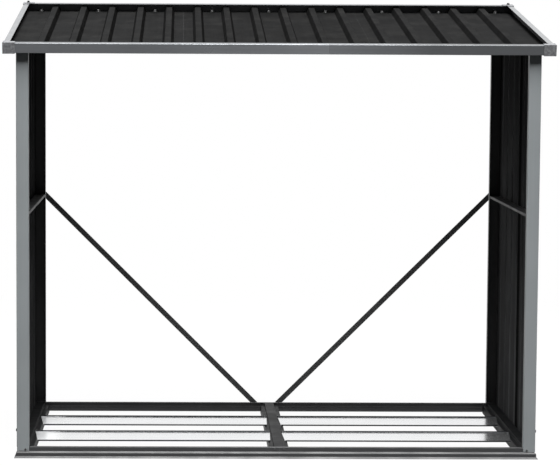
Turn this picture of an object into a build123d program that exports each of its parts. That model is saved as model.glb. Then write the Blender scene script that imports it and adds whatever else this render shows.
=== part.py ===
from build123d import *
import os
from math import atan2, cos, sin

os.makedirs("parts", exist_ok=True)

# Metal log store, millimetres. X to the right, Y to the back, Z up.
# The origin is on the floor in the middle of the store. The front is at -Y.

# Overall sizes
post_face_width = 1630.0
post_face_depth = 850.0
roof_side_overhang = 40.0
roof_end_overhang = 32.5
roof_width = post_face_width + 2 * roof_side_overhang
roof_depth = post_face_depth + 2 * roof_end_overhang
roof_front_height = 1298.0
roof_rear_height = 1438.0

# Sheet thicknesses
frame_sheet = 1.2
panel_sheet = 1.0
trim_sheet = 1.0
slat_sheet = 1.0
cap_wall = 2.0
fold_radius = 2.0
fold_gap = 1.0

# Base rails: a stepped sill with a lip on the floor
ledge_height = 35.0
seat_height = 28.0
step_top = 21.0
step_bottom = 16.0
step_out = 5.2
lip_top = 6.0
lip_out = 6.0
sill_flange = 12.0
side_seat_inner = 765.0
side_seat_outer = 780.0
rail_joint = 10.0

# Bearer under the inner slat ends
bearer_centre = 10.0
bearer_half = 30.5
ridge_half = 17.0
ridge_slope = 1.5

# Slats
slat_depth = 169.0
slat_lip = 5.0
slat_end = 777.0
slat_outer_taper = 18.0
slat_inner_taper = 5.0
slat_ridge_gap = 2.0
slat_front_inset = 217.0
slat_rear_inset = 351.0

# Posts
post_width = 38.0
post_return = 22.0

# Side walls
wall_rib_pitch = 116.0
wall_rib_top = 18.0
wall_rib_base = 34.0
wall_rib_height = 7.0
wall_seam = -58.0

# Rails inside the walls
mid_rail_top = 771.0
mid_rail_height = 22.0
mid_rail_lip = 8.0
top_rail_width = 30.0
top_rail_depth = 25.0

# Roof sheets
roof_rib_pitch = 99.0
roof_rib_count = 16
roof_rib_top = 20.0
roof_rib_base = 36.0
roof_rib_height = 18.0
roof_seam = 297.0
roof_drop = 9.0

# Roof edge trim and corner caps
front_trim_flange = 26.0
side_trim_flange = 19.0
trim_face = 31.0
trim_return = 12.0
front_trim_joint = 150.0
cap_length = 38.0

# Headers between the posts, under the roof
header_width = 28.0
header_depth = 8.0
header_front_gap = 5.0
header_rear_gap = 12.0

# Diagonal braces behind the rear posts
brace_width = 18.0
brace_leg = 12.0
brace_sheet = 1.5
brace_foot = 44.0
brace_foot_height = 35.0
brace_top_drop = 5.0
brace_tail = 9.0

# Values worked out from the sizes above
half_width = post_face_width / 2
half_depth = post_face_depth / 2
slope = atan2(roof_rear_height - roof_front_height, roof_depth)
slope_length = roof_depth / cos(slope)
cap_drop = trim_face + cap_wall
roof_front = -(roof_depth + (cap_drop - cap_wall) * sin(slope)) / 2
wall_face = half_width - frame_sheet
rail_x = wall_face - panel_sheet
rail_y = half_depth - frame_sheet
rib_top_level = -trim_sheet - roof_drop
trough_level = rib_top_level - roof_rib_height
roof_underside = trough_level - panel_sheet
trim_outer = roof_width / 2 - cap_wall
trim_inner = trim_outer - trim_sheet
mitre_reach = 60.0
cut_margin = 10.0
sheet_foot = step_top + fold_gap
run_length = rail_y - fold_gap

# Directions along the roof slope and square to it
up_slope = (0, cos(slope), sin(slope))
down_slope = (0, -cos(slope), -sin(slope))
roof_normal = (0, -sin(slope), cos(slope))
roof_rear = roof_front + roof_depth

# The roof plane passes through the top faces of the edge trim
roof_plane = Plane(origin=(0, roof_front, roof_front_height), x_dir=(1, 0, 0), z_dir=roof_normal)
slope_section = Plane(origin=(0, roof_rear, roof_rear_height), x_dir=(1, 0, 0), z_dir=down_slope)


def cross_section(x_start):
    """Plane square to X, with the roof slope as its x and the roof normal as its y."""
    return Plane(origin=(x_start, roof_front, roof_front_height), x_dir=up_slope, z_dir=(1, 0, 0))


def folded_sheet(plane, points, thickness, side, length):
    """Sheet folded along the points, with its thickness on one side, and of this length."""
    with BuildSketch(plane) as section:
        with BuildLine():
            FilletPolyline(*points, radius=fold_radius)
            offset(amount=thickness, side=side, kind=Kind.INTERSECTION)
        make_face()
    extrude(section.sketch, amount=length)


def cut_polygon(plane, points, height):
    """Take away a prism with the given outline, the same height to both sides of the plane."""
    with BuildSketch(plane) as outline:
        with BuildLine():
            Polyline(*points, close=True)
        make_face()
    extrude(outline.sketch, amount=height, both=True, mode=Mode.SUBTRACT)


def cut_box(x_range, y_range, z_range):
    """Take away an axis-aligned box given by its ranges."""
    with Locations((x_range[0], y_range[0], z_range[0])):
        Box(
            x_range[1] - x_range[0],
            y_range[1] - y_range[0],
            z_range[1] - z_range[0],
            align=(Align.MIN, Align.MIN, Align.MIN),
            mode=Mode.SUBTRACT,
        )


def ribbed_profile(start, end, centres, level, height, top, base):
    """Points across a ribbed sheet, from start to end, with a flat-topped rib at each centre."""
    points = [(start, level)]
    for centre in centres:
        points.append((centre - base / 2, level))
        points.append((centre - top / 2, level + height))
        points.append((centre + top / 2, level + height))
        points.append((centre + base / 2, level))
    points.append((end, level))
    return points


def finish(part, name):
    """Give the solid its name and write it out."""
    part.label = name
    export_step(part, "parts/" + name + ".step")
    return part


# Front and rear sills, each in two lengths joined over the bearer
def sill(x_start, x_end):
    """Front sill from x_start to x_end; the outer end is mitred at the corner."""
    points = [
        (-rail_y + sill_flange, ledge_height),
        (-rail_y, ledge_height),
        (-rail_y, step_top),
        (-rail_y - step_out, step_bottom),
        (-rail_y - step_out, lip_top),
        (-rail_y - step_out - lip_out, 0),
    ]
    with BuildPart() as rail:
        folded_sheet(Plane.YZ.offset(x_start), points, frame_sheet, Side.LEFT, x_end - x_start)
        cut_box((x_start, x_end), (-rail_y - mitre_reach, -rail_y + mitre_reach), (-cut_margin, 0))
        for sign in (-1, 1):
            corner = (sign * (rail_x + mitre_reach), -rail_y - mitre_reach)
            inside = (sign * (rail_x - sill_flange), -rail_y + sill_flange)
            outside = (sign * (rail_x + mitre_reach), -rail_y + sill_flange)
            cut_polygon(Plane.XY, (corner, inside, outside), 2 * ledge_height)
    return rail.part


sill_reach = rail_x + step_out + lip_out
front_left_sill = sill(-sill_reach, rail_joint)
front_right_sill = sill(rail_joint, sill_reach)
finish(front_left_sill, "front_rail_left")
finish(front_right_sill, "front_rail_right")
finish(mirror(sill(-sill_reach, rail_joint), about=Plane.XZ), "rear_rail_left")
finish(mirror(sill(rail_joint, sill_reach), about=Plane.XZ), "rear_rail_right")

# Side rails: the same stepped sill with a lower seat for the slats and an inner leg down to the floor
with BuildPart() as right_rail:
    folded_sheet(
        Plane.XZ.offset(-half_depth - mitre_reach),
        [
            (side_seat_inner, 0),
            (side_seat_inner, seat_height),
            (side_seat_outer, seat_height),
            (side_seat_outer + ridge_slope, ledge_height),
            (rail_x, ledge_height),
            (rail_x, step_top),
            (rail_x + step_out, step_bottom),
            (rail_x + step_out, lip_top),
            (rail_x + step_out + lip_out, 0),
        ],
        frame_sheet,
        Side.RIGHT,
        2 * (half_depth + mitre_reach),
    )
    rail_span = (-half_depth - mitre_reach, half_depth + mitre_reach)
    cut_box((0, half_width + mitre_reach), rail_span, (-cut_margin, 0))
    for sign in (-1, 1):
        end = sign * (rail_y - sill_flange)
        corner = (rail_x + mitre_reach, sign * (rail_y + mitre_reach))
        past = sign * (rail_y + 2 * mitre_reach)
        cut_polygon(
            Plane.XY,
            (
                corner,
                (rail_x - sill_flange, end),
                (side_seat_inner - cut_margin, end),
                (side_seat_inner - cut_margin, past),
                (rail_x + mitre_reach, past),
            ),
            2 * ledge_height,
        )
finish(right_rail.part, "right_rail")
finish(mirror(right_rail.part, about=Plane.YZ), "left_rail")

# Bearer: a hat-shaped rail from front sill to rear sill, with a seat for the slats on both sides
bearer_half_length = rail_y - sill_flange
with BuildPart() as bearer:
    folded_sheet(
        Plane.XZ.offset(-bearer_half_length),
        [
            (bearer_centre - bearer_half, 0),
            (bearer_centre - bearer_half, seat_height),
            (bearer_centre - ridge_half, seat_height),
            (bearer_centre - ridge_half + ridge_slope, ledge_height),
            (bearer_centre + ridge_half - ridge_slope, ledge_height),
            (bearer_centre + ridge_half, seat_height),
            (bearer_centre + bearer_half, seat_height),
            (bearer_centre + bearer_half, 0),
        ],
        frame_sheet,
        Side.RIGHT,
        2 * bearer_half_length,
    )
finish(bearer.part, "centre_bearer")


# Slats: wide flat trays with both long edges turned up and slightly tapered ends
def slat(x_wall, x_bearer, y_centre):
    """One slat from the wall end to the bearer end, lying on the seats."""
    near = y_centre - slat_depth / 2
    far = y_centre + slat_depth / 2
    with BuildPart() as tray:
        folded_sheet(
            Plane.YZ.offset(min(x_wall, x_bearer)),
            [
                (near, seat_height + slat_lip),
                (near, seat_height),
                (far, seat_height),
                (far, seat_height + slat_lip),
            ],
            slat_sheet,
            Side.LEFT,
            abs(x_bearer - x_wall),
        )
        for end, other, taper in (
            (x_wall, x_bearer, slat_outer_taper),
            (x_bearer, x_wall, slat_inner_taper),
        ):
            outward = 1 if end > other else -1
            outline = (
                (end - outward * taper, near),
                (end, far),
                (end + outward, far),
                (end + outward, near),
            )
            cut_polygon(Plane.XY, outline, 2 * ledge_height)
    return tray.part


slat_centres = (slat_front_inset - half_depth, half_depth - slat_rear_inset)
for side, x_wall in (("left", -slat_end), ("right", slat_end)):
    outward = 1 if x_wall > 0 else -1
    x_bearer = bearer_centre + outward * (ridge_half + slat_ridge_gap)
    for row, centre in zip(("front", "rear"), slat_centres):
        finish(slat(x_wall, x_bearer, centre), side + "_" + row + "_slat")


# Corner posts: a channel standing on the sill step, cut to the roof slope at the top
def post():
    """Right front post, as tall as the roof underside allows at the back."""
    points = [
        (half_width, -half_depth + post_width),
        (half_width, -half_depth),
        (half_width - post_width, -half_depth),
        (half_width - post_width, -half_depth + post_return),
    ]
    with BuildPart() as channel:
        folded_sheet(Plane.XY.offset(sheet_foot), points, frame_sheet, Side.RIGHT, roof_rear_height)
        cut_box((0, wall_face), (-rail_y, 0), (0, ledge_height))
    return channel.part


def under_roof(part):
    """Keep what lies under the roof sheets."""
    with BuildPart() as cut:
        add(part)
        split(bisect_by=roof_plane.offset(roof_underside), keep=Keep.BOTTOM)
    return cut.part


tall_post = post()
front_right_post = under_roof(tall_post)
rear_right_post = under_roof(mirror(tall_post, about=Plane.XZ))
finish(front_right_post, "front_right_post")
finish(mirror(front_right_post, about=Plane.YZ), "front_left_post")
finish(rear_right_post, "rear_right_post")
finish(mirror(rear_right_post, about=Plane.YZ), "rear_left_post")


# Side walls: ribbed sheets with the ribs outside, two to a side
def wall_panel(y_start, y_end):
    """Right wall sheet from y_start to y_end, cut to the roof slope at the top."""
    centres = [n * wall_rib_pitch for n in range(-3, 4) if y_start < n * wall_rib_pitch < y_end]
    profile = ribbed_profile(
        y_start, y_end, centres, wall_face, wall_rib_height, wall_rib_top, wall_rib_base
    )
    with BuildPart() as sheet:
        folded_sheet(
            Plane.XY.offset(sheet_foot),
            [(x, y) for y, x in profile],
            panel_sheet,
            Side.LEFT,
            roof_rear_height,
        )
        split(bisect_by=roof_plane.offset(roof_underside), keep=Keep.BOTTOM)
    return sheet.part


for name, y_start, y_end in (("front", -run_length, wall_seam), ("rear", wall_seam, run_length)):
    panel = wall_panel(y_start, y_end)
    finish(panel, "right_wall_" + name + "_panel")
    finish(mirror(panel, about=Plane.YZ), "left_wall_" + name + "_panel")

# Middle rails along the inside of the walls, from post to post
mid_rail_inner = half_width - post_width + frame_sheet
with BuildPart() as right_mid_rail:
    folded_sheet(
        Plane.XZ.offset(-run_length),
        [
            (rail_x, mid_rail_top - mid_rail_height),
            (rail_x, mid_rail_top),
            (mid_rail_inner, mid_rail_top),
            (mid_rail_inner, mid_rail_top - mid_rail_lip),
        ],
        frame_sheet,
        Side.LEFT,
        2 * run_length,
    )
finish(right_mid_rail.part, "right_mid_rail")
finish(mirror(right_mid_rail.part, about=Plane.YZ), "left_mid_rail")

# Sloping top rails along the inside of the walls, right under the roof sheets
with BuildPart() as right_top_rail:
    folded_sheet(
        slope_section,
        [
            (rail_x - top_rail_width, roof_underside),
            (rail_x, roof_underside),
            (rail_x, roof_underside - top_rail_depth),
        ],
        frame_sheet,
        Side.RIGHT,
        slope_length,
    )
    split(bisect_by=Plane.XZ.offset(run_length), keep=Keep.BOTTOM)
    split(bisect_by=Plane.XZ.offset(-run_length), keep=Keep.TOP)
finish(right_top_rail.part, "right_top_rail")
finish(mirror(right_top_rail.part, about=Plane.YZ), "left_top_rail")


# Headers: channels between the posts, open below
def header(v_start, v_end):
    """Channel across the store between two distances up the slope."""
    half = half_width - post_width
    with BuildPart() as channel:
        folded_sheet(
            cross_section(-half),
            [
                (v_start, roof_underside - header_depth),
                (v_start, roof_underside),
                (v_end, roof_underside),
                (v_end, roof_underside - header_depth),
            ],
            frame_sheet,
            Side.RIGHT,
            2 * half,
        )
    return channel.part


header_front = (header_front_gap - half_depth - roof_front) / cos(slope)
header_rear = (half_depth - header_rear_gap - roof_front) / cos(slope)
finish(header(header_front, header_front + header_width), "front_header")
finish(header(header_rear - header_width, header_rear), "rear_header")


# Roof: ribbed sheets with the ribs down the slope
def roof_panel(x_start, x_end):
    """Roof sheet between two places across the roof."""
    first = -roof_rib_pitch * (roof_rib_count - 1) / 2
    every = [first + n * roof_rib_pitch for n in range(roof_rib_count)]
    centres = [x for x in every if x_start < x < x_end]
    profile = ribbed_profile(
        x_start, x_end, centres, trough_level, roof_rib_height, roof_rib_top, roof_rib_base
    )
    edge = cap_wall + trim_sheet
    with BuildPart() as sheet:
        folded_sheet(slope_section.offset(edge), profile, panel_sheet, Side.RIGHT, slope_length - 2 * edge)
    return sheet.part


finish(roof_panel(-trim_inner, -roof_seam), "roof_left_panel")
finish(roof_panel(-roof_seam, roof_seam), "roof_middle_panel")
finish(roof_panel(roof_seam, trim_inner), "roof_right_panel")

# Edge trim: a channel with a top flange, a face and a return below, mitred at the corners
trim_far = slope_length - cap_wall


def trim_points(at, inward, flange):
    """Section of the trim with its face at the given place."""
    return [
        (at + inward * flange, 0),
        (at, 0),
        (at, -trim_face),
        (at + inward * trim_return, -trim_face),
    ]


def front_or_rear_trim(x_start, x_end, at, inward):
    """Trim along the front or rear edge, with mitred outer ends."""
    side = Side.LEFT if inward > 0 else Side.RIGHT
    points = trim_points(at, inward, front_trim_flange)
    with BuildPart() as trim:
        folded_sheet(cross_section(x_start), points, trim_sheet, side, x_end - x_start)
        for sign in (-1, 1):
            corner = (sign * trim_outer, at)
            inside = (sign * (trim_outer - mitre_reach), at + inward * mitre_reach)
            outside = (sign * trim_outer, at + inward * mitre_reach)
            cut_polygon(roof_plane, (corner, inside, outside), 2 * trim_face)
    return trim.part


finish(front_or_rear_trim(-trim_outer, front_trim_joint, cap_wall, 1), "front_trim_left")
finish(front_or_rear_trim(front_trim_joint, trim_outer, cap_wall, 1), "front_trim_right")
finish(front_or_rear_trim(-trim_outer, front_trim_joint, trim_far, -1), "rear_trim_left")
finish(front_or_rear_trim(front_trim_joint, trim_outer, trim_far, -1), "rear_trim_right")

side_trim_length = slope_length - 2 * cap_wall
side_points = trim_points(trim_outer, -1, side_trim_flange)
with BuildPart() as right_trim:
    folded_sheet(slope_section.offset(cap_wall), side_points, trim_sheet, Side.RIGHT, side_trim_length)
    for at, inward in ((cap_wall, 1), (trim_far, -1)):
        corner = (trim_outer, at)
        inside = (trim_outer - mitre_reach, at + inward * mitre_reach)
        outside = (trim_outer - mitre_reach, at)
        cut_polygon(roof_plane, (corner, inside, outside), 2 * trim_face)
finish(right_trim.part, "right_trim")
finish(mirror(right_trim.part, about=Plane.YZ), "left_trim")


# Corner caps: shells that wrap the trim at each corner of the roof
def corner_cap(at, inward):
    """Cap on the right-hand corner at the given distance up the slope."""
    blocks = (
        (-cap_wall, -cap_wall, -cap_drop, cap_drop + cap_wall, Mode.ADD),
        (0, 0, -trim_face, trim_face, Mode.SUBTRACT),
        (side_trim_flange, front_trim_flange, 0, cap_wall, Mode.SUBTRACT),
        (trim_return, trim_return, -cap_drop, cap_wall, Mode.SUBTRACT),
    )
    with BuildPart() as cap:
        for from_side, from_end, level, height, mode in blocks:
            x = trim_outer - from_side - cap_length / 2
            v = at + inward * (from_end + cap_length / 2)
            with BuildSketch(roof_plane.offset(level)):
                with Locations((x, v)):
                    Rectangle(cap_length, cap_length)
            extrude(amount=height, mode=mode)
    return cap.part


for name, at, inward in (("front", cap_wall, 1), ("rear", trim_far, -1)):
    cap = corner_cap(at, inward)
    finish(cap, name + "_right_cap")
    finish(mirror(cap, about=Plane.YZ), name + "_left_cap")

# Diagonal braces: light angles behind the rear posts, from mid height to the middle of the sill
brace_top_x = half_width - post_width
brace_top_height = mid_rail_top - brace_top_drop
brace_angle = atan2(brace_top_height - brace_foot_height, brace_top_x - brace_foot)
brace_run = (half_width - frame_sheet - brace_foot) / cos(brace_angle)
brace_plane = Plane(
    origin=(brace_foot, half_depth, brace_foot_height),
    x_dir=(cos(brace_angle), 0, sin(brace_angle)),
    z_dir=(0, -1, 0),
)
with BuildPart() as right_brace:
    with BuildSketch(brace_plane):
        with Locations(((brace_run - brace_tail) / 2, 0)):
            Rectangle(brace_run + brace_tail, brace_width)
    extrude(amount=-brace_sheet)
    with BuildSketch(brace_plane):
        with Locations(((brace_run - brace_tail) / 2, -brace_width / 2 + brace_sheet / 2)):
            Rectangle(brace_run + brace_tail, brace_sheet)
    extrude(amount=-brace_leg)
    split(bisect_by=Plane.YZ.offset(half_width), keep=Keep.BOTTOM)
    with BuildSketch(brace_plane):
        with Locations((-brace_tail / 2, 0)):
            Rectangle(brace_tail, brace_width)
    extrude(amount=frame_sheet)
finish(right_brace.part, "right_brace")
finish(mirror(right_brace.part, about=Plane.YZ), "left_brace")
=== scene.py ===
"""Looks of a metal log store: paint, zinc, plastic and rubber, small fasteners, studio and camera.

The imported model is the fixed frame. X runs to the right, Y to the back and Z up, in metres.
"""

import logging
import math
from collections.abc import Iterable
from dataclasses import dataclass, field, replace
from enum import Enum

import bmesh
import bpy
from mathutils import Matrix, Vector


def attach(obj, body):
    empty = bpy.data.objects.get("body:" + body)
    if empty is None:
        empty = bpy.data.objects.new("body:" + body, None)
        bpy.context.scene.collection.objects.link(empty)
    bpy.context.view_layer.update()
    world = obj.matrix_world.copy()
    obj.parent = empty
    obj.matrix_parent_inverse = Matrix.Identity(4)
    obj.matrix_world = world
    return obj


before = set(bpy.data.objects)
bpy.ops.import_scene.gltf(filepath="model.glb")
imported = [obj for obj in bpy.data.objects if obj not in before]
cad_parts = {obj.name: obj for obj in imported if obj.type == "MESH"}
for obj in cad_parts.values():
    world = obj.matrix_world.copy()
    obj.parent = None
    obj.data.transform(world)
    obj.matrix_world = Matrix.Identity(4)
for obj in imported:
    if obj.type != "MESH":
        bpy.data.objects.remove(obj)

log = logging.getLogger("log_store")
BODY = "root"
SHARP_ANGLE = math.radians(35)
LOOKS_UP = 0.9
Colour = tuple[float, float, float]
Point = tuple[float, float, float]
Span = tuple[float, float]
Socket = bpy.types.NodeSocket
Piece = bpy.types.Object


class Kind(Enum):
    ROOF_SCREW = "hex screw with a sealing washer"
    CAP_SCREW = "painted hex screw with a washer"
    WALL_SCREW = "low round screw with a washer"
    BOLT = "hex bolt with a plain washer"
    RIVET = "small domed rivet"


class Tone(Enum):
    """Grey of bare zinc that has dulled, and of zinc under dark paint."""

    DULL = 0.16
    PAINTED = 0.05


@dataclass(frozen=True)
class StoreSizes:
    """Sizes of the frame that the fasteners and finishes are set out from, in metres."""

    post_face_x: float = 0.815
    post_face_y: float = 0.425
    post_width: float = 0.038
    post_foot: float = 0.022
    sheet: float = 0.0012
    brace_sheet: float = 0.0015
    ledge: float = 0.035
    mid_rail: float = 0.760
    wall_flat: float = 0.8138
    wall_rib_pitch: float = 0.116
    roof_rib_pitch: float = 0.099
    roof_depth: float = 0.915
    roof_front_y: float = -0.459844
    roof_front_z: float = 1.298
    roof_rise: float = 0.140
    trough: float = -0.028
    front_joint_x: float = 0.150
    sill_joint_x: float = 0.010

    @property
    def slope(self) -> float:
        """Angle of the roof in radians."""
        return math.atan2(self.roof_rise, self.roof_depth)

    @property
    def slope_length(self) -> float:
        """Length of the roof along its slope."""
        return self.roof_depth / math.cos(self.slope)

    @property
    def roof_normal(self) -> Vector:
        """Direction square to the roof."""
        return Vector((0, -math.sin(self.slope), math.cos(self.slope)))

    def on_roof(self, x: float, up: float, level: float) -> Vector:
        """Point of the roof.

        Args:
            x: Place across the store.
            up: Distance up the slope from the front edge.
            level: Height over the plane of the trim's top faces.

        Returns:
            The point in the frame of the store.
        """
        y = self.roof_front_y + up * math.cos(self.slope) - level * math.sin(self.slope)
        z = self.roof_front_z + up * math.sin(self.slope) + level * math.cos(self.slope)
        return Vector((x, y, z))


SIZES = StoreSizes()


class Wiring:
    """An emptied set of nodes, with short calls that add nodes to it and join them."""

    def __init__(self, owner: bpy.types.Material | bpy.types.World) -> None:
        """Clear the nodes of a material or a world.

        Args:
            owner: What the nodes belong to.
        """
        owner.use_nodes = True
        self.tree = owner.node_tree
        self.tree.nodes.clear()

    def node(self, kind: str, inputs: dict | None = None, **settings: object) -> bpy.types.Node:
        """Add a node.

        Args:
            kind: Blender's name of the node type.
            inputs: Values or sockets for its inputs, by name or number.
            **settings: Properties of the node.

        Returns:
            The node.
        """
        made = self.tree.nodes.new(kind)
        for name, value in settings.items():
            setattr(made, name, value)
        for name, value in (inputs or {}).items():
            if isinstance(value, bpy.types.NodeSocket):
                self.tree.links.new(value, made.inputs[name])
            else:
                made.inputs[name].default_value = value
        return made

    def maths(self, operation: str, first: Socket | float, second: Socket | float = 0.0) -> Socket:
        """One sum on two values, or on the first alone."""
        return self.node("ShaderNodeMath", {0: first, 1: second}, operation=operation).outputs[0]

    def product(self, first: Socket | float, *others: Socket | float) -> Socket | float:
        """All the values multiplied together.

        Args:
            first: The first value.
            *others: The values that follow it.

        Returns:
            The product.
        """
        result = first
        for other in others:
            result = self.maths("MULTIPLY", result, other)
        return result

    def ramp(self, value: Socket, source: Span, target: Span, ease: str = "LINEAR") -> Socket:
        """Carry a range of values over to another range, held at its ends.

        Args:
            value: The value to carry over.
            source: Start and end of its range.
            target: What the start and the end become.
            ease: How it runs from one to the other.

        Returns:
            The new value.
        """
        names = ("Value", "From Min", "From Max", "To Min", "To Max")
        inputs = dict(zip(names, (value, *source, *target)))
        return self.node("ShaderNodeMapRange", inputs, interpolation_type=ease).outputs[0]


class Bench(Wiring):
    """A new material, with calls for the patterns and masks that finishes are made of."""

    def __init__(self, name: str) -> None:
        """Start an empty material.

        Args:
            name: Name of the material.
        """
        self.material = bpy.data.materials.new(name)
        super().__init__(self.material)

    def place(self) -> Socket:
        """Object coordinates of the shaded point."""
        return self.node("ShaderNodeTexCoord").outputs["Object"]

    def axis(self, name: str) -> Socket:
        """One of the object coordinates, named X, Y or Z."""
        return self.node("ShaderNodeSeparateXYZ", {0: self.place()}).outputs[name]

    def facing(self, name: str) -> Socket:
        """One part of the surface's own direction, named X, Y or Z."""
        normal = self.node("ShaderNodeNewGeometry").outputs["Normal"]
        return self.node("ShaderNodeSeparateXYZ", {0: normal}).outputs[name]

    def noise(self, stretch: Point, detail: float = 3.0, rough: float = 0.5) -> Socket:
        """Noise from 0 to 1.

        Args:
            stretch: Number of spots per metre along X, Y and Z.
            detail: Number of finer layers.
            rough: Strength of the finer layers.

        Returns:
            The socket with the noise.
        """
        moved = self.node("ShaderNodeMapping", {"Vector": self.place(), "Scale": stretch})
        inputs = {"Vector": moved.outputs[0], "Scale": 1.0, "Detail": detail, "Roughness": rough}
        return self.node("ShaderNodeTexNoise", inputs).outputs["Fac"]

    def even(self, spots: float, detail: float = 3.0, rough: float = 0.5) -> Socket:
        """Noise with as many spots per metre along X, Y and Z."""
        return self.noise((spots, spots, spots), detail, rough)

    def cells(self, scale: float) -> bpy.types.Node:
        """Pattern of flat cells, this many to a metre."""
        return self.node("ShaderNodeTexVoronoi", {"Vector": self.place(), "Scale": scale})

    def span(self, value: Socket, low: float, high: float, to_low: float, to_high: float) -> Socket:
        """Carry a range of values over to another range with soft ends, held beyond them."""
        return self.ramp(value, (low, high), (to_low, to_high), "SMOOTHSTEP")

    def vary(self, value: Socket, to_low: float, to_high: float) -> Socket:
        """Carry the middle of a noise over to a range of values."""
        return self.span(value, 0.3, 0.7, to_low, to_high)

    def mix(self, share: Socket | float, first: Socket | Colour, second: Socket | Colour) -> Socket:
        """Colour between two colours.

        Args:
            share: Share of the second colour.
            first: The colour at share 0.
            second: The colour at share 1.

        Returns:
            The mixed colour.
        """
        ends = [c if isinstance(c, bpy.types.NodeSocket) else (*c, 1.0) for c in (first, second)]
        inputs = {0: share, 6: ends[0], 7: ends[1]}
        return self.node("ShaderNodeMix", inputs, data_type="RGBA").outputs[2]

    def shade(self, colour: Colour, factor: Socket) -> Socket:
        """Colour made darker or lighter.

        Args:
            colour: The colour at factor 1.
            factor: What it is multiplied by.

        Returns:
            The new colour.
        """
        grey = self.node("ShaderNodeCombineColor", {0: factor, 1: factor, 2: factor}).outputs[0]
        inputs = {0: 1.0, 6: (*colour, 1.0), 7: grey}
        mixer = self.node("ShaderNodeMix", inputs, data_type="RGBA", blend_type="MULTIPLY")
        return mixer.outputs[2]

    def edges(self, radius: float) -> Socket:
        """Mask of the sharp edges.

        Args:
            radius: How far from an edge the mask reaches.

        Returns:
            A value that is 1 on sharp edges and 0 on flat faces.
        """
        soft = self.node("ShaderNodeBevel", {"Radius": radius}, samples=4).outputs[0]
        normal = self.node("ShaderNodeNewGeometry").outputs["Normal"]
        dot = self.node("ShaderNodeVectorMath", {0: soft, 1: normal}, operation="DOT_PRODUCT")
        return self.span(dot.outputs["Value"], 0.99, 0.72, 0.0, 1.0)

    def bump(
        self, height: Socket, strength: float, distance: float, under: Socket | None = None
    ) -> Socket:
        """Direction of the surface with some relief.

        Args:
            height: Height of the relief.
            strength: How much of it shows.
            distance: Metres that a height of 1 stands for.
            under: Relief that this one lies on.

        Returns:
            The direction.
        """
        inputs = {"Height": height, "Strength": strength, "Distance": distance}
        if under is not None:
            inputs["Normal"] = under
        return self.node("ShaderNodeBump", inputs).outputs[0]

    def finish(self, shader: bpy.types.Node) -> bpy.types.Material:
        """Put the shader on the surface and hand over the material."""
        self.node("ShaderNodeOutputMaterial", {"Surface": shader.outputs[0]})
        return self.material


@dataclass(frozen=True)
class SheetPaint:
    """Sprayed steel sheet with rolling lines, spray grain, dust and worn edges."""

    name: str
    colour: Colour
    roughness: float = 0.45
    metallic: float = 0.0
    specular: float = 0.5
    mottle: float = 0.10
    lines: Point = (6.0, 6.0, 0.8)
    line_depth: float = 0.10
    dust: float = 0.10
    dust_colour: Colour = (0.30, 0.29, 0.27)
    edge_colour: Colour = (0.38, 0.39, 0.40)
    edge: float = 0.35
    edge_radius: float = 0.0012
    grain_spots: float = 900.0

    def shading(self, bench: Bench) -> Socket:
        """Factor on the colour from place to place, 1 on average.

        Args:
            bench: The material that is being made.

        Returns:
            The factor.
        """
        cloud = bench.even(5.0, 2.0)
        line = bench.noise(self.lines, 4.0, 0.6)
        cloudy = bench.vary(cloud, 1 - self.mottle, 1 + self.mottle)
        lined = bench.vary(line, 1 - self.line_depth, 1 + self.line_depth)
        return bench.product(cloudy, lined)

    def dusting(self, bench: Bench) -> Socket:
        """Share of dust, more on faces that look up.

        Args:
            bench: The material that is being made.

        Returns:
            The share.
        """
        up = bench.span(bench.facing("Z"), 0.2, 0.95, 0.25, 1.0)
        patches = bench.span(bench.even(14.0, 5.0, 0.65), 0.42, 0.75, 0.15, 1.0)
        return bench.product(up, patches, self.dust)

    def wear(self, bench: Bench) -> Socket:
        """Share of worn paint along the edges.

        Args:
            bench: The material that is being made.

        Returns:
            The share.
        """
        broken = bench.span(bench.even(60.0, 4.0, 0.7), 0.35, 0.65, 0.2, 1.0)
        return bench.product(bench.edges(self.edge_radius), broken, self.edge)

    def relief(self, bench: Bench) -> Socket:
        """Spray grain on top of the long waves of rolled sheet.

        Args:
            bench: The material that is being made.

        Returns:
            The direction of the surface.
        """
        fine = bench.bump(bench.even(self.grain_spots, 2.0), 0.08, 0.0004)
        waves = bench.noise((self.lines[0] * 2, self.lines[1] * 2, self.lines[2]), 2.0)
        return bench.bump(waves, 0.10, 0.002, fine)

    def material(self) -> bpy.types.Material:
        """Make the finish.

        Returns:
            The finished material.
        """
        bench = Bench(self.name)
        paint = bench.shade(self.colour, self.shading(bench))
        dusty = bench.mix(self.dusting(bench), paint, self.dust_colour)
        patchy = bench.even(9.0, 5.0, 0.6)
        inputs = {
            "Base Color": bench.mix(self.wear(bench), dusty, self.edge_colour),
            "Roughness": bench.vary(patchy, self.roughness - 0.06, self.roughness + 0.08),
            "Metallic": self.metallic,
            "Specular IOR Level": self.specular,
            "Normal": self.relief(bench),
        }
        return bench.finish(bench.node("ShaderNodeBsdfPrincipled", inputs))


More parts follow.
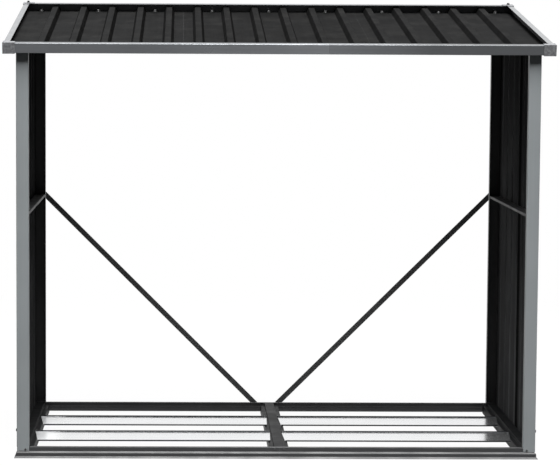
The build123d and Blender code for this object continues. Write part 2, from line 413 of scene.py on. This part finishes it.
@dataclass(frozen=True)
class RoofPaint(SheetPaint):
    """Roof paint with painted shade below the rear screws and on the rib flanks, and painted light
    across the roof.
    """

    screw_pitch: float = 2 * SIZES.roof_rib_pitch
    screw_y: float = 0.44
    # Painted shade: a dark streak down the slope from each rear screw, for the screws' shade on the
    # sheet.
    screw_shade_length: float = 0.13
    screw_shade_gap: float = 0.03
    screw_shade_half: Span = (0.004, 0.016)
    screw_shade_depth: float = 0.22
    # Painted light across the roof: factor 1.02 at the left, 0.76 in the middle, rising 1.25 times
    # to the right.
    left_light_span: Span = (-0.70, -0.10)
    left: float = 1.02
    middle: float = 0.76
    right_light_span: Span = (0.10, 0.75)
    right: float = 1.25
    # Painted shade on the rib flanks, darker on those that face right.
    right_flank_shade: float = 0.15
    left_flank_shade: float = 0.65

    def shading(self, bench: Bench) -> Socket:
        """Factor on the colour from place to place.

        Args:
            bench: The material that is being made.

        Returns:
            The factor.
        """
        base = SheetPaint.shading(self, bench)
        # Painted light across the roof.
        fall = bench.span(bench.axis("X"), *self.left_light_span, self.left, self.middle)
        rise = bench.span(bench.axis("X"), *self.right_light_span, 1.0, self.right)
        # Painted shade on the rib flanks.
        right_flank_shade = bench.span(bench.facing("X"), 0.3, 0.7, 1.0, self.right_flank_shade)
        left_flank_shade = bench.span(bench.facing("X"), -0.3, -0.7, 1.0, self.left_flank_shade)
        # Painted shade below the rear screws.
        off = bench.maths("PINGPONG", bench.axis("X"), self.screw_pitch / 2)
        beside = bench.span(off, *self.screw_shade_half, 1.0, 0.0)
        screw_shade_start = self.screw_y - self.screw_shade_length
        below = bench.span(bench.axis("Y"), screw_shade_start, self.screw_y - self.screw_shade_gap, 0.0, 1.0)
        screw_shade = bench.maths("ADD", bench.product(beside, below, -self.screw_shade_depth), 1.0)
        return bench.product(base, fall, rise, right_flank_shade, left_flank_shade, screw_shade)


@dataclass(frozen=True)
class WallPaint(SheetPaint):
    """Wall paint with painted light inside: painted shade at the top and where the two sheets
    overlap, a painted highlight on rib flanks that face the front.
    """

    seam_y: float = -0.045
    seam_half: float = 0.018
    # Painted shade at the overlap of a wall's two sheets.
    seam_shade_share: float = 0.15
    # Painted shade towards the top of the walls' inside.
    top_shade_span: Span = (0.55, 1.25)
    top_shade_share: float = 0.35
    # Painted highlight on the rib flanks that face the front; they escape the top shade.
    front_flank_highlight: float = 1.4
    outward_span: Span = (0.1, 0.3)
    # The outside faces get this share of the colour; the inside keeps the lightened tone.
    outside_share: float = 0.55

    def shading(self, bench: Bench) -> Socket:
        """Factor on the colour: painted light and shade on the inside, a plain factor of its own on
        the outside.

        Args:
            bench: The material that is being made.

        Returns:
            The factor.
        """
        base = SheetPaint.shading(self, bench)
        # Painted shade at the overlap of the sheets.
        off = bench.maths("ABSOLUTE", bench.maths("SUBTRACT", bench.axis("Y"), self.seam_y))
        seam_shade = bench.span(off, self.seam_half, self.seam_half * 2, self.seam_shade_share, 1.0)
        # Painted shade towards the top.
        height = bench.span(bench.axis("Z"), *self.top_shade_span, 1.0, self.top_shade_share)
        # Painted highlight on the rib flanks that face the front.
        front_flank_light = bench.span(bench.facing("Y"), -0.25, -0.6, 0.0, self.front_flank_highlight)
        lit = bench.product(bench.maths("MAXIMUM", height, front_flank_light), seam_shade)
        # Outside faces get a plain factor; inside faces get the painted light and shade.
        outward = bench.product(bench.facing("X"), bench.axis("X"))
        outside = bench.span(outward, *self.outward_span, 0.0, self.outside_share)
        inside = bench.product(lit, bench.span(outward, *self.outward_span, 1.0, 0.0))
        return bench.product(base, bench.maths("ADD", inside, outside))


@dataclass(frozen=True)
class TrimPaint(SheetPaint):
    """Silver trim paint with a painted highlight towards the joint and painted shade from there to
    the right.
    """

    joint_x: float = SIZES.front_joint_x
    joint_width: float = 0.001
    left_length: float = 0.65
    # Painted highlight rising from the left end to the joint, then painted shade to the right.
    left_end_shade: float = 0.88
    joint_highlight: float = 1.27
    step: float = 0.84
    right_length: float = 0.4
    right_end_shade: float = 0.56

    def shading(self, bench: Bench) -> Socket:
        """Factor on the colour from place to place, with the painted highlight, the painted shade
        and the step at the joint.

        Args:
            bench: The material that is being made.

        Returns:
            The factor.
        """
        base = SheetPaint.shading(self, bench)
        across = bench.axis("X")
        joint = self.joint_x
        # Painted highlight towards the joint and painted shade to the right of it.
        left = bench.span(across, joint - self.left_length, joint, self.left_end_shade, self.joint_highlight)
        step = bench.span(across, joint, joint + self.joint_width, 1.0, self.step)
        right = bench.span(across, joint, joint + self.right_length, 1.0, self.right_end_shade)
        return bench.product(base, left, step, right)


@dataclass(frozen=True)
class GalvanisedSheet:
    """Bright zinc-coated slat: faint lengthwise lines, soft spangle, painted shade on the turned
    edges and painted light at the left ends.
    """

    name: str
    colour: Colour = (0.80, 0.81, 0.82)
    # Painted shade: the upright faces of the turned edges get this near-black colour.
    edge_colour: Colour = (0.022, 0.023, 0.025)
    roughness: float = 0.17
    metallic: float = 0.92
    # Painted light: the left ends are made less metallic, so the lamp lights them brighter.
    lit_end_metallic: float = 0.10
    lit_left_end_span: Span = (-0.73, -0.67)
    spangle_scale: float = 140.0

    def material(self) -> bpy.types.Material:
        """Make the finish.

        Returns:
            The finished material.
        """
        bench = Bench(self.name)
        lines = bench.vary(bench.noise((0.7, 150.0, 20.0), 4.0, 0.6), 0.97, 1.03)
        patches = bench.vary(bench.noise((4.0, 9.0, 9.0), 3.0), 0.96, 1.03)
        spangle = bench.cells(self.spangle_scale).outputs["Color"]
        flake = bench.node("ShaderNodeSeparateColor", {0: spangle}).outputs[0]
        flaked = bench.span(flake, 0.0, 1.0, 0.975, 1.02)
        zinc = bench.shade(self.colour, bench.product(lines, patches, flaked))
        # Painted shade on the upright faces of the turned edges.
        turned = bench.span(bench.maths("ABSOLUTE", bench.facing("Y")), 0.4, 0.8, 0.0, 1.0)
        # Painted light: less metallic towards the left ends.
        metal = bench.span(bench.axis("X"), *self.lit_left_end_span, self.lit_end_metallic, self.metallic)
        scratch = bench.noise((1.0, 120.0, 20.0), 2.0, 0.5)
        inputs = {
            "Base Color": bench.mix(turned, zinc, self.edge_colour),
            "Roughness": bench.span(flake, 0.0, 1.0, self.roughness - 0.02, self.roughness + 0.03),
            "Metallic": bench.product(metal, bench.maths("SUBTRACT", 1.0, turned)),
            "Specular IOR Level": bench.span(turned, 0.0, 1.0, 0.5, 0.05),
            "Normal": bench.bump(scratch, 0.02, 0.0002),
        }
        return bench.finish(bench.node("ShaderNodeBsdfPrincipled", inputs))


@dataclass(frozen=True)
class GrainedPlastic:
    """Moulded plastic with a leathery grain."""

    name: str
    colour: Colour = (0.17, 0.174, 0.182)
    roughness: float = 0.55
    grain_scale: float = 420.0

    def material(self) -> bpy.types.Material:
        """Make the finish.

        Returns:
            The finished material.
        """
        bench = Bench(self.name)
        grain = bench.cells(self.grain_scale).outputs["Distance"]
        blotch = bench.even(120.0, 4.0, 0.7)
        height = bench.maths("ADD", grain, bench.product(blotch, 0.6))
        inputs = {
            "Base Color": bench.shade(self.colour, bench.vary(blotch, 0.55, 1.35)),
            "Roughness": bench.vary(blotch, self.roughness - 0.08, self.roughness + 0.1),
            "Specular IOR Level": 0.4,
            "Normal": bench.bump(height, 0.5, 0.0006),
        }
        return bench.finish(bench.node("ShaderNodeBsdfPrincipled", inputs))


@dataclass(frozen=True)
class Zinc:
    """Zinc plating on screws and bolts, mottled, bare or under dark paint."""

    name: str
    tone: Tone = Tone.DULL

    def material(self) -> bpy.types.Material:
        """Make the finish.

        Returns:
            The finished material.
        """
        bench = Bench(self.name)
        spots = bench.even(300.0, 4.0, 0.7)
        grey = (self.tone.value, self.tone.value, self.tone.value * 1.02)
        inputs = {
            "Base Color": bench.shade(grey, bench.vary(spots, 0.75, 1.15)),
            "Roughness": bench.vary(spots, 0.32, 0.5),
            "Metallic": 0.55,
            "Normal": bench.bump(spots, 0.15, 0.0003),
        }
        return bench.finish(bench.node("ShaderNodeBsdfPrincipled", inputs))


@dataclass(frozen=True)
class Rubber:
    """Black rubber of the sealing washers."""

    name: str
    colour: Colour = (0.012, 0.012, 0.012)
    dust_colour: Colour = (0.08, 0.08, 0.078)

    def material(self) -> bpy.types.Material:
        """Make the finish.

        Returns:
            The finished material.
        """
        bench = Bench(self.name)
        dust = bench.even(200.0, 3.0)
        share = bench.span(dust, 0.4, 0.8, 0.0, 0.3)
        inputs = {
            "Base Color": bench.mix(share, self.colour, self.dust_colour),
            "Roughness": bench.vary(dust, 0.6, 0.8),
            "Normal": bench.bump(dust, 0.2, 0.0003),
        }
        return bench.finish(bench.node("ShaderNodeBsdfPrincipled", inputs))


def clear_selection() -> None:
    """Go back to object mode with nothing selected."""
    if bpy.context.mode != "OBJECT":
        bpy.ops.object.mode_set(mode="OBJECT")
    bpy.ops.object.select_all(action="DESELECT")


def pick(piece: Piece) -> None:
    """Select a piece alone and make it the active one.

    Args:
        piece: The piece to select.
    """
    clear_selection()
    piece.select_set(True)
    bpy.context.view_layer.objects.active = piece


def pick_top(piece: Piece) -> None:
    """Enter edit mode and select the faces that look up.

    Args:
        piece: The piece to edit.
    """
    pick(piece)
    bpy.ops.object.mode_set(mode="EDIT")
    bpy.ops.mesh.select_mode(type="FACE")
    bpy.ops.mesh.select_all(action="DESELECT")
    shape = bmesh.from_edit_mesh(piece.data)
    for face in shape.faces:
        face.select = face.normal.z > LOOKS_UP
    shape.select_flush(True)
    bmesh.update_edit_mesh(piece.data)


def soften(piece: Piece, width: float) -> None:
    """Round the sharp edges of a piece and shade it smooth.

    Args:
        piece: The piece to round.
        width: Width of the rounding.
    """
    pick(piece)
    bevel = piece.modifiers.new("rounding", "BEVEL")
    bevel.width = width
    bevel.segments = 1
    bevel.limit_method = "ANGLE"
    bevel.angle_limit = SHARP_ANGLE
    bpy.ops.object.modifier_apply(modifier=bevel.name)
    bpy.ops.object.shade_smooth_by_angle(angle=SHARP_ANGLE)


def settle(piece: Piece) -> None:
    """Put a piece's place, turn and size into its mesh."""
    piece.data.transform(piece.matrix_world)
    piece.matrix_world = Matrix.Identity(4)


def merge(pieces: list[Piece], name: str) -> Piece:
    """Join pieces into one.

    Args:
        pieces: The pieces, of which the first takes in the others.
        name: Name of the joined piece.

    Returns:
        The joined piece.
    """
    clear_selection()
    for piece in pieces:
        piece.select_set(True)
    bpy.context.view_layer.objects.active = pieces[0]
    if len(pieces) > 1:
        bpy.ops.object.join()
    pieces[0].name = name
    pieces[0].data.name = name
    return pieces[0]


@dataclass
class FastenerBox:
    """Screws, bolts and rivets, each modelled once at the origin, pointing up."""

    head_across: float = 0.0080
    head_height: float = 0.0044
    head_lift: float = 0.001
    flange_height: float = 0.0012
    dish_depth: float = 0.0007
    round_height: float = 0.0026
    crown_rise: float = 0.0006
    crown_ease: float = 0.0001
    recess_depth: float = 0.0010
    washer_radius: float = 0.0070
    washer_height: float = 0.0022
    rivet_radius: float = 0.0035
    rivet_height: float = 0.0009
    rivet_rise: float = 0.0007
    pin_hole_depth: float = 0.0004
    turn_between: float = math.radians(37)
    zinc: Zinc = field(default_factory=lambda: Zinc("screw_zinc"))
    dark_zinc: Zinc = field(default_factory=lambda: Zinc("painted_screw", Tone.PAINTED))
    rubber: Rubber = field(default_factory=lambda: Rubber("washer_rubber"))
    stock: dict[Kind, Piece] = field(default_factory=dict)

    def build(self) -> None:
        """Model one of each kind."""
        zinc = self.zinc.material()
        dark = self.dark_zinc.material()
        rubber = self.rubber.material()
        self.stock = {
            Kind.ROOF_SCREW: self.hex_head(zinc, rubber, Kind.ROOF_SCREW),
            Kind.CAP_SCREW: self.hex_head(dark, dark, Kind.CAP_SCREW),
            Kind.WALL_SCREW: self.round_head(dark, rubber),
            Kind.BOLT: self.hex_head(dark, dark, Kind.BOLT),
            Kind.RIVET: self.rivet(dark),
        }

    def disc(self, radius: float, height: float, base: float, sides: int = 18) -> Piece:
        """A short round blank.

        Args:
            radius: Radius of the blank.
            height: Height of the blank.
            base: Level of its underside.
            sides: Number of sides.

        Returns:
            The blank.
        """
        clear_selection()
        bpy.ops.mesh.primitive_cylinder_add(
            vertices=sides, radius=radius, depth=height, location=(0, 0, base + height / 2)
        )
        piece = bpy.context.active_object
        settle(piece)
        return piece

    def washer(self, material: bpy.types.Material, radius: float, height: float) -> Piece:
        """A washer with a raised middle and rounded edges.

        Args:
            material: Material of the washer.
            radius: Outer radius.
            height: Height before the middle is raised.

        Returns:
            The washer.
        """
        piece = self.disc(radius, height, 0.0)
        pick_top(piece)
        bpy.ops.mesh.inset(thickness=radius * 0.28, depth=height * 0.25)
        clear_selection()
        soften(piece, height * 0.3)
        piece.data.materials.append(material)
        return piece

    def hex_head(
        self, metal: bpy.types.Material, under: bpy.types.Material, kind: Kind
    ) -> Piece:
        """A hexagon head with a dished top, on a flange and a washer.

        Args:
            metal: Material of the head and flange.
            under: Material of the washer.
            kind: Which fastener it becomes.

        Returns:
            The fastener.
        """
        washer = self.washer(under, self.washer_radius, self.washer_height)
        seat = self.washer_height * 1.2
        flange = self.disc(self.head_across * 0.66, self.flange_height, seat)
        soften(flange, 0.0004)
        flange.data.materials.append(metal)
        corner_radius = self.head_across / 2 / math.cos(math.pi / 6)
        head = self.disc(corner_radius, self.head_height, seat + self.head_lift, 6)
        pick_top(head)
        bpy.ops.mesh.inset(thickness=self.head_across * 0.14, depth=0.0)
        bpy.ops.mesh.inset(thickness=self.head_across * 0.08, depth=-self.dish_depth)
        clear_selection()
        soften(head, 0.0004)
        head.data.materials.append(metal)
        return merge([head, flange, washer], kind.name.lower())

    def round_head(self, metal: bpy.types.Material, under: bpy.types.Material) -> Piece:
        """A low domed head with a recess, on a thin washer.

        Args:
            metal: Material of the head.
            under: Material of the washer.

        Returns:
            The fastener.
        """
        washer = self.washer(under, self.washer_radius * 0.9, self.washer_height * 0.5)
        head = self.disc(self.head_across * 0.55, self.round_height, self.washer_height * 0.6)
        pick_top(head)
        steps = ((0.18, self.crown_rise), (0.2, self.crown_ease), (0.02, -self.recess_depth))
        for share, depth in steps:
            bpy.ops.mesh.inset(thickness=self.head_across * share, depth=depth)
        clear_selection()
        soften(head, 0.0005)
        head.data.materials.append(metal)
        return merge([head, washer], Kind.WALL_SCREW.name.lower())

    def rivet(self, metal: bpy.types.Material) -> Piece:
        """A low dome with a small hole where the pin broke off.

        Args:
            metal: Material of the rivet.

        Returns:
            The fastener.
        """
        dome = self.disc(self.rivet_radius, self.rivet_height, 0.0, 14)
        pick_top(dome)
        bpy.ops.mesh.inset(thickness=self.rivet_radius * 0.45, depth=self.rivet_rise)
        bpy.ops.mesh.inset(thickness=self.rivet_radius * 0.15, depth=-self.pin_hole_depth)
        clear_selection()
        soften(dome, 0.0003)
        dome.data.materials.append(metal)
        return merge([dome], Kind.RIVET.name.lower())

    def set_out(self, name: str, kind: Kind, places: Iterable[tuple[Vector, Vector]]) -> Piece:
        """Copies of one fastener, joined into one piece that rides on the store.

        Args:
            name: Name of the new piece.
            kind: Which fastener to copy.
            places: Seat and outward direction of each copy.

        Returns:
            The joined piece.
        """
        copies = []
        for number, (seat, outward) in enumerate(places):
            copy = self.stock[kind].copy()
            copy.data = self.stock[kind].data.copy()
            bpy.context.scene.collection.objects.link(copy)
            turn = outward.to_track_quat("Z", "Y").to_matrix().to_4x4()
            spin = Matrix.Rotation(self.turn_between * number, 4, "Z")
            copy.data.transform(Matrix.Translation(seat) @ turn @ spin)
            copies.append(copy)
        piece = merge(copies, name)
        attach(piece, BODY)
        log.info("%s: %d of %s", name, len(copies), kind.value)
        return piece

    def put_away(self) -> None:
        """Remove the originals."""
        for piece in self.stock.values():
            bpy.data.objects.remove(piece)
        self.stock = {}


def dress(nodes: Iterable[str], material: bpy.types.Material) -> None:
    """Give CAD nodes a material.

    Args:
        nodes: Names of the nodes.
        material: The material they get.
    """
    for name in nodes:
        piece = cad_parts[name]
        piece.data.materials.clear()
        piece.data.materials.append(material)
        log.info("%s: %s", name, material.name)


@dataclass
class Base:
    """Sills, side rails and the middle bearer, painted dark; the side rails and bearer darker still
    as painted shade.
    """

    sill_paint: SheetPaint = SheetPaint(
        "base_paint", (0.030, 0.0304, 0.0323), roughness=0.42, specular=0.35,
        lines=(0.6, 9.0, 60.0), dust=0.06,
    )
    # Painted shade: the side rails and bearer carry a darker copy of the sill paint.
    side_shaded_paint: SheetPaint = replace(
        sill_paint, name="side_rail_shaded_paint", colour=(0.011, 0.0112, 0.0118), specular=0.01,
        lines=(9.0, 0.6, 60.0), dust=0.015, edge=0.05,
    )
    bearer_shaded_paint: SheetPaint = replace(side_shaded_paint, name="bearer_shaded_paint", specular=0.03)
    sills: tuple[str, ...] = (
        "front_rail_left", "front_rail_right", "rear_rail_left", "rear_rail_right",
    )
    rivet_half: float = 0.014

    def build(self, box: FastenerBox) -> None:
        """Paint the rails and add the rivets at the sill joints.

        Args:
            box: Where the rivets come from.
        """
        dress(self.sills, self.sill_paint.material())
        dress(("left_rail", "right_rail"), self.side_shaded_paint.material())
        dress(("centre_bearer",), self.bearer_shaded_paint.material())
        face = SIZES.post_face_y - SIZES.sheet
        height = (SIZES.post_foot + SIZES.ledge) / 2
        places = []
        for side in (-1, 1):
            for offset in (-self.rivet_half, self.rivet_half):
                seat = Vector((SIZES.sill_joint_x + offset, side * face, height))
                places.append((seat, Vector((0, side, 0))))
        box.set_out("sill_joint_rivets", Kind.RIVET, places)


@dataclass
class SlatDeck:
    """The four zinc-coated slats that carry the logs."""

    zinc: GalvanisedSheet = GalvanisedSheet("slat_zinc")
    nodes: tuple[str, ...] = (
        "left_front_slat", "left_rear_slat", "right_front_slat", "right_rear_slat",
    )

    def build(self) -> None:
        """Give the slats their finish."""
        dress(self.nodes, self.zinc.material())


@dataclass
class Posts:
    """Four corner posts: mid grey at the front, dark at the back."""

    front: SheetPaint = SheetPaint(
        "front_post_paint", (0.250, 0.268, 0.276), roughness=0.42, specular=0.1,
        lines=(40.0, 40.0, 0.5), line_depth=0.03, mottle=0.03, dust=0.05,
        edge_colour=(0.5, 0.51, 0.52),
    )
    rear: SheetPaint = SheetPaint(
        "rear_post_paint", (0.012, 0.0124, 0.0128), roughness=0.4, specular=0.3,
        lines=(40.0, 40.0, 0.5), dust=0.03,
    )
    side_screw_height: float = 0.085
    foot_screw_height: float = 0.0265
    foot_screw_inset: float = 0.0265

    def build(self, box: FastenerBox) -> None:
        """Paint the posts and fasten them to the walls and sills.

        Args:
            box: Where the screws and rivets come from.
        """
        dress(("front_left_post", "front_right_post"), self.front.material())
        dress(("rear_left_post", "rear_right_post"), self.rear.material())
        sides = []
        feet = []
        side_y = SIZES.post_face_y - SIZES.post_width / 2
        foot_x = SIZES.post_face_x - self.foot_screw_inset
        for x in (-1, 1):
            for y in (-1, 1):
                seat = Vector((x * SIZES.post_face_x, y * side_y, self.side_screw_height))
                sides.append((seat, Vector((x, 0, 0))))
                seat = Vector((x * foot_x, y * SIZES.post_face_y, self.foot_screw_height))
                feet.append((seat, Vector((0, y, 0))))
        box.set_out("post_side_screws", Kind.WALL_SCREW, sides)
        box.set_out("post_foot_screws", Kind.RIVET, feet)


@dataclass
class SideWalls:
    """Ribbed wall sheets with their middle and top rails."""

    # The colour is lightened for the inside of the walls as painted light; the outside gets 0.55 of
    # it.
    paint: WallPaint = WallPaint(
        "wall_paint", (0.058, 0.0588, 0.0598), roughness=0.6, specular=0.0,
        lines=(50.0, 50.0, 0.6), line_depth=0.12, dust=0.03, edge=0.2,
    )
    rail_paint: SheetPaint = SheetPaint(
        "wall_rail_paint", (0.020, 0.0205, 0.0212), roughness=0.45, specular=0.05,
        lines=(9.0, 0.6, 60.0), dust=0.03, edge=0.25,
    )
    rails: tuple[str, ...] = (
        "left_mid_rail", "right_mid_rail", "left_top_rail", "right_top_rail",
    )
    rows: Span = (SIZES.mid_rail, 0.030)
    screws_to_a_half: int = 3

    def build(self, box: FastenerBox) -> None:
        """Paint the walls and rails, and screw the sheets to the rails.

        Args:
            box: Where the screws come from.
        """
        halves = [(side, end) for side in ("left", "right") for end in ("front", "rear")]
        dress([f"{side}_wall_{end}_panel" for side, end in halves], self.paint.material())
        dress(self.rails, self.rail_paint.material())
        places = []
        for x in (-1, 1):
            for row in self.rows:
                for number in range(-self.screws_to_a_half, self.screws_to_a_half):
                    y = (number + 0.5) * SIZES.wall_rib_pitch
                    places.append((Vector((x * SIZES.wall_flat, y, row)), Vector((x, 0, 0))))
        box.set_out("wall_screws", Kind.WALL_SCREW, places)


@dataclass
class Roof:
    """Ribbed roof sheets, their headers, edge trim and corner caps."""

    sheet: RoofPaint = RoofPaint(
        "roof_paint", (0.0093, 0.0094, 0.0096), roughness=0.80, specular=0.012,
        lines=(60.0, 0.8, 0.8), line_depth=0.08, mottle=0.05, dust=0.02, edge=0.2,
    )
    header: SheetPaint = SheetPaint(
        "header_paint", (0.020, 0.021, 0.022), lines=(0.6, 9.0, 60.0)
    )
    # Painted shade: the front and rear trims carry a darker copy of the side trims' paint.
    trim: TrimPaint = TrimPaint(
        "trim_paint", (0.140, 0.147, 0.156), roughness=0.33, metallic=0.5,
        lines=(1.2, 1.2, 160.0), line_depth=0.05, mottle=0.03, dust=0.04,
        edge_colour=(0.6, 0.61, 0.62),
    )
    side_trim: SheetPaint = SheetPaint(
        "side_trim_paint", (0.205, 0.211, 0.219), roughness=0.33, metallic=0.5,
        lines=(160.0, 1.2, 1.2), line_depth=0.05, mottle=0.03, dust=0.04,
        edge_colour=(0.6, 0.61, 0.62),
    )
    cap: GrainedPlastic = GrainedPlastic("cap_plastic")
    sheets: tuple[str, ...] = ("roof_left_panel", "roof_middle_panel", "roof_right_panel")
    cross_trims: tuple[str, ...] = (
        "front_trim_left", "front_trim_right", "rear_trim_left", "rear_trim_right",
    )
    screw_count: int = 9
    rear_gap: float = 0.020
    front_gap: float = 0.034
    cap_screw_x: float = 0.838
    cap_screw_inset: float = 0.012

    def build(self, box: FastenerBox) -> None:
        """Paint the roof and add its screws.

        Args:
            box: Where the screws come from.
        """
        dress(self.sheets, self.sheet.material())
        dress(("front_header", "rear_header"), self.header.material())
        dress(self.cross_trims, self.trim.material())
        dress(("left_trim", "right_trim"), self.side_trim.material())
        corners = [(end, side) for end in ("front", "rear") for side in ("left", "right")]
        dress([f"{end}_{side}_cap" for end, side in corners], self.cap.material())
        middle = (self.screw_count - 1) / 2
        across = [(n - middle) * 2 * SIZES.roof_rib_pitch for n in range(self.screw_count)]
        length = SIZES.slope_length
        for name, up in (("rear", length - self.rear_gap), ("front", self.front_gap)):
            places = [(SIZES.on_roof(x, up, SIZES.trough), SIZES.roof_normal) for x in across]
            box.set_out(f"{name}_roof_screws", Kind.ROOF_SCREW, places)
        up = length - self.cap_screw_inset
        ends = (-self.cap_screw_x, self.cap_screw_x)
        places = [(SIZES.on_roof(x, up, 0.0), SIZES.roof_normal) for x in ends]
        box.set_out("cap_screws", Kind.CAP_SCREW, places)


@dataclass
class Braces:
    """Two slanting angles across the back."""

    paint: SheetPaint = SheetPaint(
        "brace_paint", (0.026, 0.027, 0.028), roughness=0.4, lines=(8.0, 30.0, 8.0)
    )
    nodes: tuple[str, ...] = ("left_brace", "right_brace")
    top: Span = (0.796, 0.785)
    foot: Span = (0.044, 0.033)

    def build(self, box: FastenerBox) -> None:
        """Paint the braces, keep them out of the slats' gloss and bolt their ends.

        Args:
            box: Where the bolts come from.
        """
        dress(self.nodes, self.paint.material())
        for name in self.nodes:
            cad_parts[name].visible_glossy = False
        outer = SIZES.post_face_y + SIZES.brace_sheet
        places = []
        for x in (-1, 1):
            for at_x, z in (self.top, self.foot):
                places.append((Vector((x * at_x, outer, z)), Vector((0, 1, 0))))
        box.set_out("brace_bolts", Kind.BOLT, places)


@dataclass(frozen=True)
class Softbox:
    """A rectangular lamp aimed at the middle of the store.

    The azimuth is in degrees from the front towards the right-hand side and the elevation in
    degrees above the floor. The distance, width and height are in metres, the power in watts.
    """

    name: str
    azimuth: float
    elevation: float
    distance: float
    size: Span
    power: float
    aim_height: float = 0.7

    def build(self) -> None:
        """Set the lamp up."""
        light = bpy.data.lights.new(self.name, "AREA")
        light.shape = "RECTANGLE"
        light.size, light.size_y = self.size
        light.energy = self.power
        piece = bpy.data.objects.new(self.name, light)
        bpy.context.scene.collection.objects.link(piece)
        a, h = math.radians(self.azimuth), math.radians(self.elevation)
        back = Vector((math.sin(a) * math.cos(h), -math.cos(a) * math.cos(h), math.sin(h)))
        turn = (-back).to_track_quat("-Z", "Y").to_matrix().to_4x4()
        aim = Vector((0, 0, self.aim_height))
        piece.matrix_world = Matrix.Translation(back * self.distance + aim) @ turn


@dataclass
class Studio:
    """Pale floor, surroundings that look white but light the store dimly, lamps and camera."""

    floor_radius: float = 9.0
    floor_colour: Colour = (0.88, 0.88, 0.88)
    floor_glow: float = 0.97
    glow_span: Span = (1.2, 4.0)
    floor_bounce: float = 0.03
    back_bounce: float = 0.50
    bounce_span: Span = (0.4, 1.4)
    front_gloss: float = 0.25
    gloss_span: Span = (-0.5, 0.3)
    sky_light: float = 0.02
    side_light: float = 0.9
    side_light_from: Point = (-0.75, 0.65, 0.1)
    side_span: Span = (0.2, 0.9)
    softboxes: tuple[Softbox, ...] = (
        Softbox("key_softbox", 5.0, 69.5, 12.0, (4.5, 12.0), 4450.0),
        Softbox("top_softbox", 180.0, 78.0, 5.0, (3.0, 2.0), 20.0),
    )
    camera_place: Point = (-0.2989, -7.1087, 1.3105)
    turn: float = -0.6665
    dip: float = 4.6613
    lean: float = 0.2724
    focal_pixels: float = 2152.585
    centre_pixel: Span = (207.2065, 215.5331)
    picture: tuple[int, int] = (560, 466)
    sensor: float = 36.0

    def build(self) -> None:
        """Set up everything round the store."""
        self.build_camera()
        self.build_floor()
        self.build_surroundings()
        for softbox in self.softboxes:
            softbox.build()

    def build_camera(self) -> None:
        """Camera at the photographed place, with the photographed framing."""
        lens = bpy.data.cameras.new("camera")
        lens.sensor_fit = "HORIZONTAL"
        lens.sensor_width = self.sensor
        width, height = self.picture
        lens.lens = self.focal_pixels / width * self.sensor
        lens.shift_x = (width / 2 - self.centre_pixel[0]) / width
        lens.shift_y = (self.centre_pixel[1] - height / 2) / width
        lens.clip_end = 100
        camera = bpy.data.objects.new("camera", lens)
        bpy.context.scene.collection.objects.link(camera)
        look = (
            Matrix.Rotation(math.radians(self.turn), 4, "Z")
            @ Matrix.Rotation(math.radians(90 - self.dip), 4, "X")
            @ Matrix.Rotation(math.radians(self.lean), 4, "Z")
        )
        camera.matrix_world = Matrix.Translation(self.camera_place) @ look
        bpy.context.scene.camera = camera

    def build_floor(self) -> None:
        """A round pale floor that keeps the shadow and runs out to white.

        As light on the store it is dim in front and brighter behind.
        """
        clear_selection()
        radius = self.floor_radius
        bpy.ops.mesh.primitive_circle_add(vertices=96, radius=radius, fill_type="NGON")
        floor = bpy.context.active_object
        floor.name = "floor"
        bench = Bench("pale_floor")
        away = bench.node("ShaderNodeVectorMath", {0: bench.place()}, operation="LENGTH")
        glow = bench.span(away.outputs["Value"], *self.glow_span, self.floor_glow, 1.0)
        grain = bench.vary(bench.even(3.0, 4.0), 0.97, 1.0)
        plain = bench.node("ShaderNodeBsdfDiffuse", {0: bench.shade(self.floor_colour, grain)})
        white = bench.node("ShaderNodeEmission", {0: (1, 1, 1, 1), 1: 1.0})
        inputs = {0: glow, 1: plain.outputs[0], 2: white.outputs[0]}
        seen = bench.node("ShaderNodeMixShader", inputs)
        path = bench.node("ShaderNodeLightPath").outputs
        mirrored = bench.maths("MAXIMUM", path["Is Glossy Ray"], path["Is Transmission Ray"])
        direct = bench.maths("MAXIMUM", path["Is Camera Ray"], mirrored)
        bounce = bench.span(bench.axis("Y"), *self.bounce_span, self.floor_bounce, self.back_bounce)
        dim = bench.node("ShaderNodeBsdfDiffuse", {0: bench.shade((1.0, 1.0, 1.0), bounce)})
        inputs = {0: direct, 1: dim.outputs[0], 2: seen.outputs[0]}
        floor.data.materials.append(bench.finish(bench.node("ShaderNodeMixShader", inputs)))

    def build_surroundings(self) -> None:
        """White all round to the camera; in gloss white behind the store and grey in front.

        As light on the store they are dim, with a brighter patch behind it on the left.
        """
        world = bpy.data.worlds.new("surroundings")
        bpy.context.scene.world = world
        wiring = Wiring(world)
        direction = wiring.node("ShaderNodeTexCoord").outputs["Generated"]
        depth = wiring.node("ShaderNodeSeparateXYZ", {0: direction}).outputs["Y"]
        inputs = {0: direction, 1: self.side_light_from}
        lean = wiring.node("ShaderNodeVectorMath", inputs, operation="DOT_PRODUCT")
        strengths = (
            wiring.ramp(lean.outputs["Value"], self.side_span, (self.sky_light, self.side_light)),
            wiring.ramp(depth, self.gloss_span, (self.front_gloss, 1.0)),
            1.0,
        )
        soft, gloss, white = [
            wiring.node("ShaderNodeBackground", {"Color": (1, 1, 1, 1), "Strength": s}).outputs[0]
            for s in strengths
        ]
        path = wiring.node("ShaderNodeLightPath").outputs
        mirrored = wiring.maths("MAXIMUM", path["Is Glossy Ray"], path["Is Transmission Ray"])
        shiny = wiring.node("ShaderNodeMixShader", {0: mirrored, 1: soft, 2: gloss}).outputs[0]
        inputs = {0: path["Is Camera Ray"], 1: shiny, 2: white}
        seen = wiring.node("ShaderNodeMixShader", inputs).outputs[0]
        wiring.node("ShaderNodeOutputWorld", {"Surface": seen})


def main() -> None:
    """Dress the frame, add the fasteners and set up the studio."""
    logging.basicConfig(level=logging.INFO, format="%(message)s")
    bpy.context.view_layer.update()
    bpy.context.scene.view_settings.view_transform = "Standard"
    Studio().build()
    box = FastenerBox()
    box.build()
    Base().build(box)
    SlatDeck().build()
    Posts().build(box)
    SideWalls().build(box)
    Roof().build(box)
    Braces().build(box)
    box.put_away()


if __name__ == "__main__":
    main()
